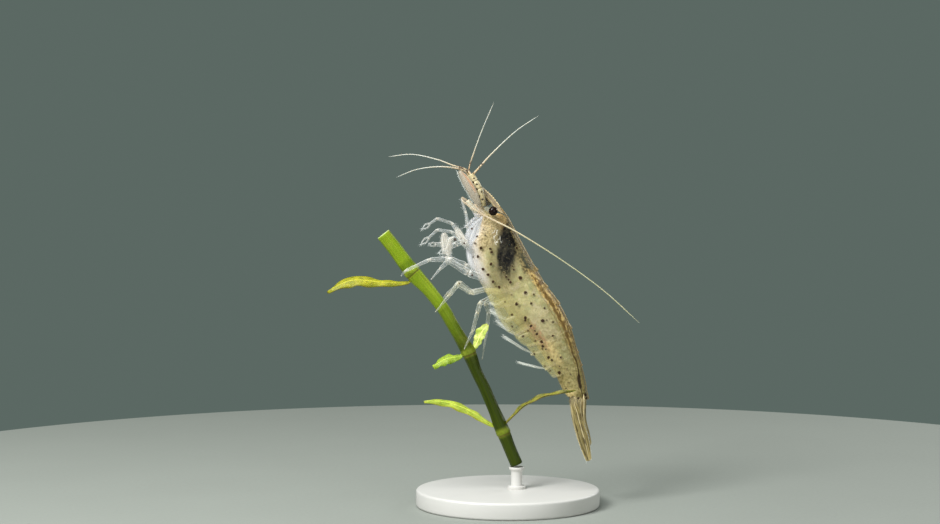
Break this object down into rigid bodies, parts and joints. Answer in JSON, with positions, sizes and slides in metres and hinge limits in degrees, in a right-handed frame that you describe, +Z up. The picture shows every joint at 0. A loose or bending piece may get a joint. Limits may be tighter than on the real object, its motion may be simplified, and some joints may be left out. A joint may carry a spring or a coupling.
{
  "type": "aquarium shrimp",
  "caption": "Still life-size model of a freshwater aquarium shrimp climbing a cut water-plant stem, held by a short rod on a plain round base.",
  "frame": {"origin": "centre of the underside of the stand's round base", "axes": "+Z up; the shrimp's belly and the perch's upper end towards -X, its back towards +X, its left side towards -Y"},
  "size_m": [0.0438, 0.026, 0.0571],
  "materials": {
    "shell": "milky translucent shell, olive beige with dark brown spots, satin gloss",
    "limb": "milky white, half clear limbs with pale yellow joints",
    "fin": "thin clear plates with fine bristles at the edge",
    "feeler": "cream, banded with brown",
    "eye": "black, fine facets, wet gloss",
    "stem": "green plant stem, ribbed along its length, darker below the nodes",
    "leaf": "yellow green leaf with a pale midrib",
    "stand": "plain off-white stand, fine satin surface"
  },
  "bodies": {
    "root": {"antenna_left": "feeler", "antenna_left_whip": "feeler", "antenna_right": "feeler", "antenna_right_whip": "feeler", "antenna_scale_left": "fin", "antenna_scale_right": "fin", "antennule_left": "feeler", "antennule_left_inner_whip": "feeler", "antennule_left_outer_whip": "feeler", "antennule_right": "feeler", "antennule_right_inner_whip": "feeler", "antennule_right_outer_whip": "feeler", "carapace": "shell", "eye_left": "eye", "eye_right": "eye", "head": "shell", "leg_1_left": "limb", "leg_1_right": "limb", "leg_2_left": "limb", "leg_2_right": "limb", "leg_3_left": "limb", "leg_3_right": "limb", "leg_4_left": "limb", "leg_4_right": "limb", "leg_5_left": "limb", "leg_5_right": "limb", "maxilliped_left": "limb", "maxilliped_right": "limb", "perch_leaf_lower_left": "leaf", "perch_leaf_lower_right": "leaf", "perch_leaf_middle_left": "leaf", "perch_leaf_middle_right": "leaf", "perch_leaf_upper": "leaf", "perch_stem": "stem", "pleonite_1": "shell", "pleonite_2": "shell", "pleonite_3": "shell", "pleonite_4": "shell", "pleonite_5": "shell", "pleonite_6": "shell", "pleopod_1_left": "fin", "pleopod_1_right": "fin", "pleopod_2_left": "fin", "pleopod_2_right": "fin", "pleopod_3_left": "fin", "pleopod_3_right": "fin", "pleopod_4_left": "fin", "pleopod_4_right": "fin", "pleopod_5_left": "fin", "pleopod_5_right": "fin", "rostrum": "shell", "stand_base": "stand", "stand_rod": "stand", "telson": "shell", "uropod_inner_left": "fin", "uropod_inner_right": "fin", "uropod_outer_left": "fin", "uropod_outer_right": "fin"}
  },
  "joints": []
}
